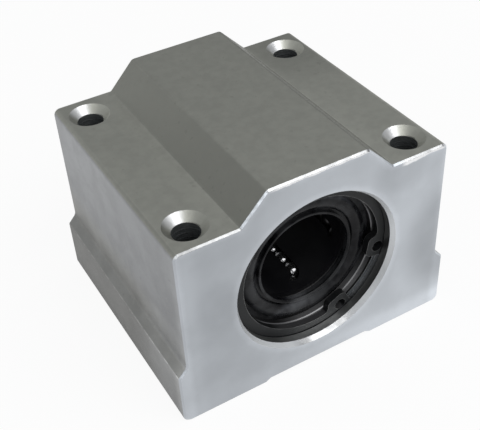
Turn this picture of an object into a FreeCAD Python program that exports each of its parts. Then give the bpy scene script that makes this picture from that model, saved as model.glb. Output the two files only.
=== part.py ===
import FreeCAD, Part
import math
import os
import Sketcher

# Linear bearing block for a 16 mm shaft, in millimetres.
# The shaft runs along Y, the block stands on Z = 0 and the front end faces -Y.
# A caged recirculating-ball bushing sits in the bore between two circlips.
# Bearing sizes follow outwards from the shaft, and lengths inwards from the block ends.

doc = FreeCAD.newDocument("linear_bearing_block")
sheet = doc.addObject("Spreadsheet::Sheet", "Sizes")

driving_sizes = (
    # Housing section
    ("block_width", 50.0),
    ("block_length", 44.0),
    ("block_height", 38.5),
    ("side_step", 1.5),
    ("base_height", 10.1),
    ("step_rise", 1.6),
    ("shoulder_drop", 4.7),
    ("shoulder_width", 10.4),
    ("ridge_slope_width", 4.6),
    ("relief_mouth_width", 20.4),
    ("relief_slope_width", 0.9),
    ("relief_depth", 0.5),
    # Housing edges
    ("foot_radius", 1.3),
    ("step_radius", 0.4),
    ("neck_radius", 1.4),
    ("shoulder_radius", 1.1),
    ("ridge_radius", 1.0),
    ("root_radius", 0.4),
    ("end_chamfer", 0.3),
    # Bore and circlip grooves
    ("bore_height", 19.0),
    ("mouth_chamfer", 0.5),
    ("mouth_chamfer_depth", 0.85),
    ("groove_depth", 0.7),
    ("groove_play", 0.1),
    # Tapped mounting holes, drilled right through
    ("hole_inset_across", 6.0),
    ("hole_inset_along", 5.0),
    ("hole_diameter", 4.3),
    ("countersink_diameter", 6.8),
    ("countersink_angle", 90.0),
    ("hole_foot_chamfer", 0.3),
    # Shaft, balls and their circuits
    ("shaft_diameter", 16.0),
    ("ball_diameter", 3.175),
    ("circuit_count", 5.0),
    ("ball_gap", 0.03),
    ("row_gap", 1.125),
    ("ball_clearance", 0.06),
    ("first_row_angle", -77.5),
    ("ball_phase", 0.2),
    # Bearing sleeve
    ("bearing_section", 6.0),
    ("bearing_recess", 3.5),
    ("bearing_fit", 0.01),
    ("sleeve_chamfer", 0.5),
    ("sleeve_groove_depth", 0.5),
    ("sleeve_groove_width", 1.6),
    ("sleeve_groove_inset", 5.25),
    ("counterbore_step", 0.15),
    ("rim_chamfer", 0.15),
    ("land_angle", 20.0),
    ("land_entry", 1.2),
    ("land_fit", 0.01),
    # Ball cage and the rings that hold its ends
    ("cage_shaft_gap", 0.15),
    ("cage_sleeve_gap", 1.1),
    ("cage_end_wall", 0.7),
    ("cage_ring_overlap", 0.7),
    ("cage_ring_setback", 0.8),
    ("cage_ring_flange", 0.5),
    ("inner_fit", 0.03),
    # Shaft seals
    ("seal_depth", 1.9),
    ("seal_rim_drop", 1.1),
    ("seal_face_drop", 0.75),
    ("seal_face_gap", 0.9),
    ("seal_face_start", 1.0),
    ("seal_face_radius", 1.6),
    ("seal_channel_drop", 1.0),
    ("seal_lip_height", 0.55),
    ("seal_lip_drop", 0.3),
    ("seal_lip_slope", 0.2),
    ("seal_lip_thickness", 0.7),
    ("seal_lip_radius", 0.4),
    ("seal_bead", 0.25),
    ("seal_bead_width", 0.5),
    # Circlips
    ("circlip_thickness", 1.2),
    ("circlip_width", 2.7),
    ("circlip_taper", 0.4),
    ("lug_width", 3.7),
    ("lug_length", 3.6),
    ("lug_root", 1.2),
    ("lug_hole_diameter", 2.0),
    ("lug_hole_inset", 1.0),
    ("lug_hole_angle", 26.5),
    ("lug_flare", 0.7),
    ("lug_corner", 1.0),
    ("lug_blend", 1.0),
    ("cut_margin", 2.0),
    ("front_gap_angle", -37.5),
    ("rear_gap_angle", -90.0),
)

for row, (name, value) in enumerate(driving_sizes, start=1):
    sheet.set("A%d" % row, name)
    sheet.set("B%d" % row, str(value))
    sheet.setAlias("B%d" % row, name)
doc.recompute()


def size(name):
    return float(sheet.get(name))


# Half widths and levels of the housing, written as formulas for the sketches
foot_side = "(Sizes.block_width / 2)"
upper_side = "(%s - Sizes.side_step)" % foot_side
ridge_foot = "(%s - Sizes.shoulder_width)" % upper_side
ridge_top = "(%s - Sizes.ridge_slope_width)" % ridge_foot
step_top = "(Sizes.base_height + Sizes.step_rise)"
shoulder_top = "(Sizes.block_height - Sizes.shoulder_drop)"
half_block = "(Sizes.block_length / 2)"

# Radii of the bearing, from the shaft outwards
shaft_radius = "(Sizes.shaft_diameter / 2)"
ball_radius = "(Sizes.ball_diameter / 2)"
ball_circle = "(%s + %s)" % (shaft_radius, ball_radius)
track_radius = "(%s + Sizes.ball_clearance)" % ball_radius
row_spacing = "(Sizes.ball_diameter + Sizes.row_gap)"
land_radius = "(%s + %s + Sizes.land_fit)" % (ball_circle, ball_radius)
return_radius = (
    "(sqrt(%s * %s + %s * %s) + %s)"
    % (ball_circle, ball_circle, row_spacing, row_spacing, track_radius)
)
cage_inner = "(%s + Sizes.cage_shaft_gap)" % shaft_radius
cage_outer = "(%s - Sizes.cage_sleeve_gap)" % return_radius
counterbore = "(%s + Sizes.counterbore_step)" % return_radius
seated_radius = "(%s - Sizes.inner_fit)" % counterbore
bearing_radius = "(%s + Sizes.bearing_section)" % shaft_radius
bore_radius = "(%s + Sizes.bearing_fit)" % bearing_radius
groove_radius = "(%s + Sizes.groove_depth)" % bearing_radius

# Distances from the middle of the bearing, from its ends inwards
half_bearing = "(%s - Sizes.bearing_recess)" % half_block
seal_back = "(%s - Sizes.seal_depth)" % half_bearing
ring_front = "(%s - Sizes.inner_fit)" % seal_back
ring_stop = "(%s - Sizes.cage_ring_flange)" % ring_front
half_cage = "(%s - Sizes.inner_fit)" % ring_stop
counterbore_floor = "(%s - Sizes.cage_ring_overlap)" % half_cage

# Each circuit holds as many balls as the cage has room for
ball_pitch = "(Sizes.ball_diameter + Sizes.ball_gap)"
balls_per_turn = "(90deg / asin(%s / %s))" % (ball_pitch, row_spacing)
row_room = (
    "(2 * (%s - Sizes.cage_end_wall - %s) - %s)" % (half_cage, track_radius, row_spacing)
)
balls_per_circuit = "floor(2 * (%s / %s + %s))" % (row_room, ball_pitch, balls_per_turn)
row_length = "(%s * (%s / 2 - %s))" % (ball_pitch, balls_per_circuit, balls_per_turn)

# Straight edges and round outlines are matched to their places within these
same_place = 0.01
round_slack = 0.05


def worked_out(formula):
    """Value of a formula on the sheet, in millimetres."""
    return float(sheet.evalExpression(formula))


def new_body(name):
    body = doc.addObject("PartDesign::Body", name)
    body.Label = name
    return body


def new_sketch(body, name, role, offset=None):
    """Empty sketch on one of the body's own origin planes."""
    sketch = body.newObject("Sketcher::SketchObject", name)
    plane = [item for item in body.Origin.OriginFeatures if item.Role == role][0]
    sketch.AttachmentSupport = [(plane, "")]
    sketch.MapMode = "FlatFace"
    if offset:
        sketch.setExpression("AttachmentOffset.Base.z", offset)
    doc.recompute()
    return sketch


def drive(sketch, constraint, formula):
    index = sketch.addConstraint(constraint)
    sketch.setExpression("Constraints[%d]" % index, formula)


def pin_point(sketch, geometry, corner, across, up):
    """Place a sketch point by its two coordinates, each one a formula."""
    if across == "0":
        sketch.addConstraint(Sketcher.Constraint("PointOnObject", geometry, corner, -2))
    else:
        value = worked_out(across)
        drive(sketch, Sketcher.Constraint("DistanceX", -1, 1, geometry, corner, value), across)
    if up == "0":
        sketch.addConstraint(Sketcher.Constraint("PointOnObject", geometry, corner, -1))
    else:
        value = worked_out(up)
        drive(sketch, Sketcher.Constraint("DistanceY", -1, 1, geometry, corner, value), up)


def rounded_edge(start, finish, radius):
    """Arc between two points that stands out to the right of the way between them."""
    way = finish - start
    left = FreeCAD.Vector(-way.y, way.x, 0).normalize()
    depth = math.sqrt(radius * radius - way.Length * way.Length / 4)
    centre = (start + finish) / 2 + left * depth
    turn_start = math.atan2(start.y - centre.y, start.x - centre.x)
    turn_finish = math.atan2(finish.y - centre.y, finish.x - centre.x)
    round_line = Part.Circle(centre, FreeCAD.Vector(0, 0, 1), radius)
    return Part.ArcOfCircle(round_line, turn_start, turn_finish)


def outline(sketch, corners):
    """Closed outline through corners given as formulas.

    A corner with a third formula starts a rounded edge of that radius.
    """
    points = []
    for corner in corners:
        points.append(FreeCAD.Vector(worked_out(corner[0]), worked_out(corner[1]), 0))
    first = sketch.GeometryCount
    count = len(points)
    for index, corner in enumerate(corners):
        start = points[index]
        finish = points[(index + 1) % count]
        if len(corner) == 3:
            edge = rounded_edge(start, finish, worked_out(corner[2]))
        else:
            edge = Part.LineSegment(start, finish)
        sketch.addGeometry(edge, False)
    for index, corner in enumerate(corners):
        joined = first + (index + 1) % count
        sketch.addConstraint(Sketcher.Constraint("Coincident", first + index, 2, joined, 1))
        pin_point(sketch, first + index, 1, corner[0], corner[1])
        if len(corner) == 3:
            value = worked_out(corner[2])
            drive(sketch, Sketcher.Constraint("Radius", first + index, value), corner[2])


def circle(sketch, radius, across="0", up="0"):
    centre = FreeCAD.Vector(worked_out(across), worked_out(up), 0)
    value = worked_out(radius)
    shape = Part.Circle(centre, FreeCAD.Vector(0, 0, 1), value)
    index = sketch.addGeometry(shape, False)
    drive(sketch, Sketcher.Constraint("Radius", index, value), radius)
    pin_point(sketch, index, 3, across, up)


def feature(body, kind, name, sketch):
    item = body.newObject("PartDesign::" + kind, name)
    item.Profile = sketch
    return item


def pad(body, name, sketch, length, symmetric=False):
    item = feature(body, "Pad", name, sketch)
    item.SideType = "Symmetric" if symmetric else "One side"
    item.setExpression("Length", length)
    doc.recompute()


def pocket(body, name, sketch, length, symmetric=False, reverse=False):
    item = feature(body, "Pocket", name, sketch)
    item.SideType = "Symmetric" if symmetric else "One side"
    item.Reversed = reverse
    item.setExpression("Length", length)
    doc.recompute()
    return item


def turned(body, kind, name, sketch, axis="H_Axis", angle="360", symmetric=False):
    """Revolution or Groove about one of the sketch's axes."""
    item = feature(body, kind, name, sketch)
    item.ReferenceAxis = (sketch, [axis])
    item.Midplane = symmetric
    item.setExpression("Angle", angle)
    doc.recompute()
    return item


def polar(body, name, originals, count):
    item = body.newObject("PartDesign::PolarPattern", name)
    item.Originals = originals
    axis = [part for part in body.Origin.OriginFeatures if part.Role == "Y_Axis"][0]
    item.Axis = (axis, [""])
    item.Angle = 360
    item.setExpression("Occurrences", count)
    body.Tip = item
    doc.recompute()


def edge_names(shape, wanted):
    names = []
    for index, edge in enumerate(shape.Edges, start=1):
        if wanted(edge):
            names.append("Edge%d" % index)
    return names


def dress(body, kind, name, names, amount, property_name):
    """Fillet or Chamfer on named edges of the body's present shape."""
    base = body.Tip
    item = body.newObject("PartDesign::" + kind, name)
    item.Base = (base, names)
    item.setExpression(property_name, amount)
    doc.recompute()


def long_edges_at(shape, across, up, length):
    """Straight edges along Y that pass through (+-across, up)."""
    def wanted(edge):
        box = edge.BoundBox
        return (
            abs(box.YLength - length) < same_place
            and box.XLength < same_place
            and box.ZLength < same_place
            and abs(abs(box.XMin) - across) < same_place
            and abs(box.ZMin - up) < same_place
        )
    return edge_names(shape, wanted)


def build_housing():
    body = new_body("housing")

    # The extruded section, right half listed and the left half mirrored from it
    relief_side = "(Sizes.relief_mouth_width / 2)"
    right_half = [
        ("(%s - Sizes.relief_slope_width)" % relief_side, "Sizes.relief_depth"),
        (relief_side, "0"),
        (foot_side, "0"),
        (foot_side, "Sizes.base_height"),
        (upper_side, step_top),
        (upper_side, shoulder_top),
        (ridge_foot, shoulder_top),
        (ridge_top, "Sizes.block_height"),
    ]
    left_half = [("-" + across, up) for across, up in reversed(right_half)]
    section = new_sketch(body, "housing_section", "XZ_Plane")
    outline(section, right_half + left_half)
    pad(body, "housing_bar", section, "Sizes.block_length", symmetric=True)

    # Rounded edges along the bar
    rounds = (
        ("foot_round", foot_side, "0", "Sizes.foot_radius"),
        ("step_round", foot_side, "Sizes.base_height", "Sizes.step_radius"),
        ("neck_round", upper_side, step_top, "Sizes.neck_radius"),
        ("shoulder_round", upper_side, shoulder_top, "Sizes.shoulder_radius"),
        ("root_round", ridge_foot, shoulder_top, "Sizes.root_radius"),
        ("ridge_round", ridge_top, "Sizes.block_height", "Sizes.ridge_radius"),
    )
    for name, side, level, radius in rounds:
        names = long_edges_at(
            body.Tip.Shape, worked_out(side), worked_out(level), size("block_length")
        )
        dress(body, "Fillet", name, names, radius, "Radius")

    # Bore with chamfered mouths and a circlip groove outside each bearing end
    far = "(%s + Sizes.circlip_thickness + Sizes.groove_play)" % half_bearing
    mouth = "(%s - Sizes.mouth_chamfer_depth)" % half_block
    axis_height = "Sizes.bore_height"
    wall = "(%s + %s)" % (axis_height, bore_radius)
    wide = "(%s + Sizes.mouth_chamfer)" % wall
    groove_wall = "(%s + %s)" % (axis_height, groove_radius)
    rear_half = [
        (half_bearing, wall),
        (half_bearing, groove_wall),
        (far, groove_wall),
        (far, wall),
        (mouth, wall),
        (half_block, wide),
        (half_block, axis_height),
    ]
    front_half = [("-" + along, up) for along, up in reversed(rear_half)]
    bore = new_sketch(body, "bore_section", "YZ_Plane")
    outline(bore, rear_half + front_half)
    reach = worked_out(half_block)
    level = size("bore_height")
    axis_line = Part.LineSegment(
        FreeCAD.Vector(-reach, level, 0), FreeCAD.Vector(reach, level, 0)
    )
    axis_index = bore.addGeometry(axis_line, True)
    pin_point(bore, axis_index, 1, "-" + half_block, axis_height)
    pin_point(bore, axis_index, 2, half_block, axis_height)
    turned(body, "Groove", "bore", bore, axis="Axis0")

    # Four mounting holes through the shoulders, countersunk at the top
    across = "(%s - Sizes.hole_inset_across)" % foot_side
    along = "(%s - Sizes.hole_inset_along)" % half_block
    holes = new_sketch(body, "hole_places", "XY_Plane", shoulder_top)
    for side in ("", "-"):
        for end in ("", "-"):
            circle(holes, "Sizes.hole_diameter / 2", side + across, end + along)
    drilled = feature(body, "Hole", "mounting_holes", holes)
    doc.recompute()
    drilled.DepthType = "ThroughAll"
    drilled.ThreadType = "None"
    drilled.setExpression("Diameter", "Sizes.hole_diameter")
    drilled.HoleCutType = "Countersink"
    drilled.HoleCutCustomValues = True
    drilled.setExpression("HoleCutDiameter", "Sizes.countersink_diameter")
    drilled.setExpression("HoleCutCountersinkAngle", "Sizes.countersink_angle")
    doc.recompute()

    def hole_foot(edge):
        box = edge.BoundBox
        flat = box.ZLength < same_place and abs(box.ZMin) < same_place
        return flat and abs(box.XLength - size("hole_diameter")) < round_slack

    names = edge_names(body.Tip.Shape, hole_foot)
    dress(body, "Chamfer", "hole_foot", names, "Sizes.hole_foot_chamfer", "Size")

    # Broken edges round both sawn end faces, the bore mouths apart
    mouth_width = 2 * (worked_out(bore_radius) + size("mouth_chamfer"))

    def end_outline(edge):
        box = edge.BoundBox
        flat = box.YLength < same_place and abs(abs(box.YMin) - reach) < same_place
        return flat and abs(box.XLength - mouth_width) > round_slack

    names = edge_names(body.Tip.Shape, end_outline)
    dress(body, "Chamfer", "end_edges", names, "Sizes.end_chamfer", "Size")
    return body


def seat_in_bore(body, turn="0", half_turn=0):
    """Lift a piece made about its own Y axis into the bore and turn it about Y.

    A half turn of 180 degrees first turns a piece made for the front end round.
    """
    spin = FreeCAD.Rotation(FreeCAD.Vector(0, 1, 0), worked_out(turn))
    flip = FreeCAD.Rotation(FreeCAD.Vector(0, 0, 1), half_turn)
    level = FreeCAD.Vector(0, 0, size("bore_height"))
    body.Placement = FreeCAD.Placement(level, spin.multiply(flip))
    body.setExpression("Placement.Base.z", "Sizes.bore_height")


def build_sleeve(row_turn):
    body = new_body("bearing_sleeve")
    groove_bottom = "(%s - Sizes.sleeve_groove_depth)" % bearing_radius
    groove_far = "(%s - Sizes.sleeve_groove_inset)" % half_bearing
    groove_near = "(%s - Sizes.sleeve_groove_width)" % groove_far
    bead_far = "(%s - Sizes.seal_rim_drop + Sizes.inner_fit)" % half_bearing
    bead_near = "(%s - Sizes.seal_bead_width - 2 * Sizes.inner_fit)" % bead_far
    bead_wall = "(%s + Sizes.seal_bead + Sizes.inner_fit)" % counterbore
    rear_half = [
        (groove_near, bearing_radius),
        (groove_near, groove_bottom),
        (groove_far, groove_bottom),
        (groove_far, bearing_radius),
        ("(%s - Sizes.sleeve_chamfer)" % half_bearing, bearing_radius),
        (half_bearing, "(%s - Sizes.sleeve_chamfer)" % bearing_radius),
        (half_bearing, "(%s + Sizes.rim_chamfer)" % counterbore),
        ("(%s - Sizes.rim_chamfer)" % half_bearing, counterbore),
        (bead_far, counterbore),
        (bead_far, bead_wall),
        (bead_near, bead_wall),
        (bead_near, counterbore),
        (counterbore_floor, counterbore),
        (counterbore_floor, return_radius),
    ]
    front_half = [("-" + along, up) for along, up in reversed(rear_half)]
    section = new_sketch(body, "sleeve_section", "YZ_Plane")
    outline(section, rear_half + front_half)
    turned(body, "Revolution", "sleeve_ring", section)

    # Ground lands that carry the loaded rows, with sloped entries for the balls
    land_half = "(%s / 2)" % row_length
    sunk = "(%s + Sizes.land_entry / 2)" % return_radius
    slope_start = "(%s - Sizes.land_entry)" % land_half
    land = new_sketch(body, "land_section", "YZ_Plane")
    outline(land, [
        (land_half, sunk),
        ("-" + land_half, sunk),
        ("-" + land_half, return_radius),
        ("-" + slope_start, land_radius),
        (slope_start, land_radius),
        (land_half, return_radius),
    ])
    strip = turned(
        body, "Revolution", "land", land, angle="Sizes.land_angle", symmetric=True
    )
    polar(body, "lands", [strip], "Sizes.circuit_count")
    seat_in_bore(body, row_turn)
    return body


def build_cage(row_turn):
    body = new_body("ball_cage")
    section = new_sketch(body, "cage_section", "YZ_Plane")
    outline(section, [
        ("-" + half_cage, cage_inner),
        (half_cage, cage_inner),
        (half_cage, cage_outer),
        ("-" + half_cage, cage_outer),
    ])
    turned(body, "Revolution", "cage_tube", section)

    # One ball track: two straight rows and two half turns, all on one plane.
    # The loaded row stands over the shaft and breaks through the cage bore.
    half_row = "(%s / 2)" % row_length
    middle = "(%s / 2)" % row_spacing
    rows = new_sketch(body, "row_section", "XZ_Plane")
    circle(rows, track_radius, "0", ball_circle)
    circle(rows, track_radius, row_spacing, ball_circle)
    straight = pocket(body, "rows", rows, row_length, symmetric=True)
    cuts = [straight]
    for name, sign, reverse in (("rear_turn", "-", True), ("front_turn", "", False)):
        ring = new_sketch(body, name + "_section", "XZ_Plane", sign + half_row)
        circle(ring, track_radius, "0", ball_circle)
        centre_line = Part.LineSegment(
            FreeCAD.Vector(worked_out(middle), 0, 0),
            FreeCAD.Vector(worked_out(middle), worked_out(ball_circle), 0),
        )
        line_index = ring.addGeometry(centre_line, True)
        pin_point(ring, line_index, 1, middle, "0")
        pin_point(ring, line_index, 2, middle, ball_circle)
        turn = turned(body, "Groove", name, ring, axis="Axis0", angle="180")
        turn.Reversed = reverse
        doc.recompute()
        cuts.append(turn)

    # The track stays open outwards, so the balls can be dropped in from outside
    slot = new_sketch(body, "track_opening", "XY_Plane", ball_circle)
    for reach in ("+", "-"):
        stadium(slot, middle, "(%s %s %s)" % (middle, reach, track_radius), half_row)
    cuts.append(pocket(body, "track_mouth", slot, cage_outer, reverse=True))
    polar(body, "tracks", cuts, "Sizes.circuit_count")
    seat_in_bore(body, row_turn)
    return body


def stadium(sketch, centre, radius, half_row):
    """Race-track outline along Y, round-ended, about the line X = centre."""
    middle = worked_out(centre)
    reach = worked_out(radius)
    half = worked_out(half_row)
    up = FreeCAD.Vector(0, 0, 1)
    first = sketch.GeometryCount
    right = FreeCAD.Vector(middle + reach, 0, 0)
    left = FreeCAD.Vector(middle - reach, 0, 0)
    rise = FreeCAD.Vector(0, half, 0)
    top = Part.Circle(FreeCAD.Vector(middle, half, 0), up, reach)
    bottom = Part.Circle(FreeCAD.Vector(middle, -half, 0), up, reach)
    sketch.addGeometry(Part.LineSegment(right - rise, right + rise), False)
    sketch.addGeometry(Part.ArcOfCircle(top, 0, math.pi), False)
    sketch.addGeometry(Part.LineSegment(left + rise, left - rise), False)
    sketch.addGeometry(Part.ArcOfCircle(bottom, math.pi, 2 * math.pi), False)
    # Each edge's end, point 2, runs smoothly into the next edge's start, point 1
    edges = range(first, sketch.GeometryCount)
    for edge in edges:
        other = edge + 1 if edge + 1 in edges else first
        sketch.addConstraint(Sketcher.Constraint("Tangent", edge, 2, other, 1))
    drive(sketch, Sketcher.Constraint("Radius", first + 1, reach), radius)
    pin_point(sketch, first + 1, 3, centre, half_row)
    pin_point(sketch, first + 3, 3, centre, "-" + half_row)


def build_ball_circuit(number, row_turn):
    """One endless row of balls round a track, each ball a solid of its own."""
    ball = worked_out(ball_radius)
    level = worked_out(ball_circle)
    pitch = worked_out(ball_pitch)
    bend = worked_out(row_spacing) / 2
    half_row = worked_out(row_length) / 2
    # Travel round the track is counted in balls, along a row and then round a turn
    row_share = worked_out(row_length) / pitch
    turn_share = worked_out(balls_per_turn)
    way_back = row_share + turn_share
    count = int(worked_out(balls_per_circuit))
    balls = []
    for index in range(count):
        travel = (index + size("ball_phase")) % count
        if travel < row_share:
            across = 0
            along = -half_row + travel * pitch
        elif travel < way_back:
            angle = math.pi * (travel - row_share) / turn_share
            across = bend - bend * math.cos(angle)
            along = half_row + bend * math.sin(angle)
        elif travel < way_back + row_share:
            across = 2 * bend
            along = half_row - (travel - way_back) * pitch
        else:
            angle = math.pi * (travel - way_back - row_share) / turn_share
            across = bend + bend * math.cos(angle)
            along = -half_row - bend * math.sin(angle)
        balls.append(Part.makeSphere(ball, FreeCAD.Vector(across, along, level)))
    name = "ball_circuit_%d" % number
    item = doc.addObject("Part::Feature", name)
    item.Label = name
    item.Shape = Part.makeCompound(balls)
    seat_in_bore(item, row_turn)
    return item


def build_cage_ring(name, half_turn):
    body = new_body(name)
    sleeve_side = "(%s + Sizes.inner_fit)" % cage_outer
    opening = "(%s + Sizes.cage_ring_setback)" % cage_inner
    section = new_sketch(body, name + "_section", "YZ_Plane")
    outline(section, [
        ("-" + counterbore_floor, sleeve_side),
        ("-" + counterbore_floor, seated_radius),
        ("-" + ring_front, seated_radius),
        ("-" + ring_front, opening),
        ("-" + ring_stop, opening),
        ("-" + ring_stop, sleeve_side),
    ])
    turned(body, "Revolution", name + "_ring", section)
    seat_in_bore(body, half_turn=half_turn)
    return body


def build_seal(name, half_turn):
    """Rubber seal: a bead that snaps into the sleeve, a rounded face and a thin lip."""
    body = new_body(name)
    bead_front = "(%s - Sizes.seal_rim_drop)" % half_bearing
    bead_back = "(%s - Sizes.seal_bead_width)" % bead_front
    bead_radius = "(%s + Sizes.seal_bead)" % seated_radius
    face_edge = "(%s - Sizes.seal_face_drop)" % half_bearing
    face_outer = "(%s - Sizes.seal_face_gap)" % counterbore
    face_inner = "(%s + Sizes.seal_face_start)" % shaft_radius
    channel = "(%s - Sizes.seal_channel_drop)" % half_bearing
    lip_outer = "(%s + Sizes.seal_lip_height)" % shaft_radius
    lip_front = "(%s - Sizes.seal_lip_drop)" % half_bearing
    lip_edge = "(%s - Sizes.seal_lip_slope)" % lip_front
    lip_back = "(%s - Sizes.seal_lip_thickness)" % lip_edge
    section = new_sketch(body, name + "_section", "YZ_Plane")
    outline(section, [
        ("-" + seal_back, lip_outer),
        ("-" + seal_back, seated_radius),
        ("-" + bead_back, seated_radius),
        ("-" + bead_back, bead_radius),
        ("-" + bead_front, bead_radius),
        ("-" + bead_front, face_outer),
        ("-" + face_edge, face_outer, "Sizes.seal_face_radius"),
        ("-" + face_edge, face_inner),
        ("-" + channel, face_inner),
        ("-" + channel, lip_outer),
        ("-" + lip_front, lip_outer, "Sizes.seal_lip_radius"),
        ("-" + lip_edge, shaft_radius),
        ("-" + lip_back, lip_outer),
    ])
    turned(body, "Revolution", name + "_ring", section)
    seat_in_bore(body, half_turn=half_turn)
    return body


def lug_point(side, radius, along):
    """Point of a lug: at a radius on its middle line, then a step along the ring."""
    angle = "Sizes.lug_hole_angle"
    across = "(%s * cos(%s) - (%s) * sin(%s))" % (radius, angle, along, angle)
    up = "(%s * sin(%s) + (%s) * cos(%s))" % (radius, angle, along, angle)
    return (across, side + up)


def build_circlip(name, turn, half_turn):
    """Internal circlip, made with its gap on +X and then turned into place."""
    body = new_body(name)
    outer = "(%s - Sizes.inner_fit)" % groove_radius
    inner = "(%s - Sizes.circlip_width + Sizes.circlip_taper)" % outer
    ring = new_sketch(body, name + "_ring_section", "XZ_Plane", half_bearing)
    circle(ring, outer)
    circle(ring, inner, "Sizes.circlip_taper", "0")
    pad(body, name + "_ring", ring, "Sizes.circlip_thickness")

    lug_inner = "(%s - Sizes.lug_width)" % outer
    lug_outer = "(%s - Sizes.lug_root)" % outer
    gap_side = "-Sizes.lug_length / 2"
    far_side = "Sizes.lug_length / 2"
    lugs = new_sketch(body, name + "_lug_section", "XZ_Plane", half_bearing)
    for side in ("", "-"):
        outline(lugs, [
            lug_point(side, lug_inner, gap_side),
            lug_point(side, lug_outer, gap_side),
            lug_point(side, lug_outer, far_side + " + Sizes.lug_flare"),
            lug_point(side, lug_inner, far_side),
        ])
    pad(body, name + "_lugs", lugs, "Sizes.circlip_thickness")

    gap_start = "(%s - Sizes.cut_margin)" % lug_inner
    gap_end = "(%s + Sizes.cut_margin)" % outer
    gap = new_sketch(body, name + "_gap_section", "XZ_Plane", half_bearing)
    outline(gap, [
        lug_point("", gap_start, gap_side),
        lug_point("", gap_end, gap_side),
        lug_point("-", gap_end, gap_side),
        lug_point("-", gap_start, gap_side),
    ])
    pocket(body, name + "_gap", gap, "Sizes.circlip_thickness", reverse=True)

    holes = new_sketch(body, name + "_hole_section", "XZ_Plane", half_bearing)
    for side in ("", "-"):
        across, up = lug_point(side, "(%s - Sizes.lug_hole_inset)" % bearing_radius, "0")
        circle(holes, "Sizes.lug_hole_diameter / 2", across, up)
    pocket(body, name + "_holes", holes, "Sizes.circlip_thickness", reverse=True)

    # The lugs' inner corners are rounded, and their far sides run into the ring
    lug_middle = (worked_out(lug_inner) + worked_out(lug_outer)) / 2

    def thickness_line(edge):
        box = edge.BoundBox
        return box.XLength < same_place and box.ZLength < same_place

    def lug_tip(edge):
        box = edge.BoundBox
        return thickness_line(edge) and math.hypot(box.XMin, box.ZMin) < lug_middle

    def lug_root(edge):
        box = edge.BoundBox
        from_inner = math.hypot(box.XMin - size("circlip_taper"), box.ZMin) - worked_out(inner)
        return thickness_line(edge) and abs(from_inner) < same_place

    names = edge_names(body.Tip.Shape, lug_root)
    dress(body, "Fillet", name + "_roots", names, "Sizes.lug_blend", "Radius")
    names = edge_names(body.Tip.Shape, lug_tip)
    dress(body, "Fillet", name + "_tips", names, "Sizes.lug_corner", "Radius")
    seat_in_bore(body, turn, half_turn)
    return body


row_turns = []
for number in range(int(size("circuit_count"))):
    row_turns.append("90 - Sizes.first_row_angle + %d * 360 / Sizes.circuit_count" % number)

parts = [build_housing(), build_sleeve(row_turns[0]), build_cage(row_turns[0])]
for number, row_turn in enumerate(row_turns, start=1):
    parts.append(build_ball_circuit(number, row_turn))
for end_name, half_turn in (("front", 0), ("rear", 180)):
    parts.append(build_cage_ring("cage_ring_" + end_name, half_turn))
    parts.append(build_seal("shaft_seal_" + end_name, half_turn))
    gap_turn = "%d - Sizes.%s_gap_angle" % (half_turn, end_name)
    parts.append(build_circlip("circlip_" + end_name, gap_turn, half_turn))
doc.recompute()

for item in doc.Objects:
    if "Invalid" in item.State or "Error" in item.State:
        raise RuntimeError("%s did not build: %s" % (item.Name, item.State))
for item in parts:
    if item.Shape.isNull() or not item.Shape.isValid():
        raise RuntimeError("%s has no valid shape" % item.Label)

os.makedirs("parts", exist_ok=True)
for item in parts:
    item.Shape.exportStep("parts/%s.step" % item.Label)
    solids = len(item.Shape.Solids)
    print("%-20s %3d solids %10.1f mm3" % (item.Label, solids, item.Shape.Volume))
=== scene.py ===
import math
import types
import bpy
from mathutils import Matrix, Vector


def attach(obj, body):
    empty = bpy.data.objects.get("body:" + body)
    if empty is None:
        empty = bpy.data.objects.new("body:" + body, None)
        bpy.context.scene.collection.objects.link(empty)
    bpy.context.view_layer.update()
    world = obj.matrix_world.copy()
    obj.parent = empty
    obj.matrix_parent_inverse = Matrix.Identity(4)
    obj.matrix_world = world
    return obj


# Looks of a linear bearing block: blasted aluminium skin, machined ends and
# bores, and the dark bearing with its circlips, seals and balls inside.

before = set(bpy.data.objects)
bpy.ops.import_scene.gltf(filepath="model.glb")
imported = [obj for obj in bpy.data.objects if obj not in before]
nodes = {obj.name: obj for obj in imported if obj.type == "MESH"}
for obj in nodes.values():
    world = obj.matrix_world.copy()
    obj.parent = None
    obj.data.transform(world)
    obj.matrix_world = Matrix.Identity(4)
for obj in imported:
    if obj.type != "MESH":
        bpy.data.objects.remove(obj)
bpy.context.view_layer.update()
print("frame loaded:", len(nodes), "nodes")

boreHeight = 0.019   # the shaft's axis above the feet
holeAcross = 0.019   # mounting holes from the middle, across and along
holeAlong = 0.017
outline = {          # the stepped outline of the block's ends, above the feet
    "ridgeTop": 0.0385,
    "ridgeRoot": 0.0131,      # from the middle, where the ridge's slope meets the shoulder
    "slopeAcross": 0.7148,    # the slope's normal
    "slopeUp": 0.6993,
    "shoulderTop": 0.0338,
    "side": 0.0235,
}

# Camera at the photograph's angle
cameraLook = {
    "azimuth": -28.47,
    "elevation": 38.604,
    "roll": -3.424,
    "distance": 0.15195,
    "target": (0, 0, 0.0175),
    "lens": 66.974,
    "shiftX": -0.01358,
    "shiftY": -0.01993,
}


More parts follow.
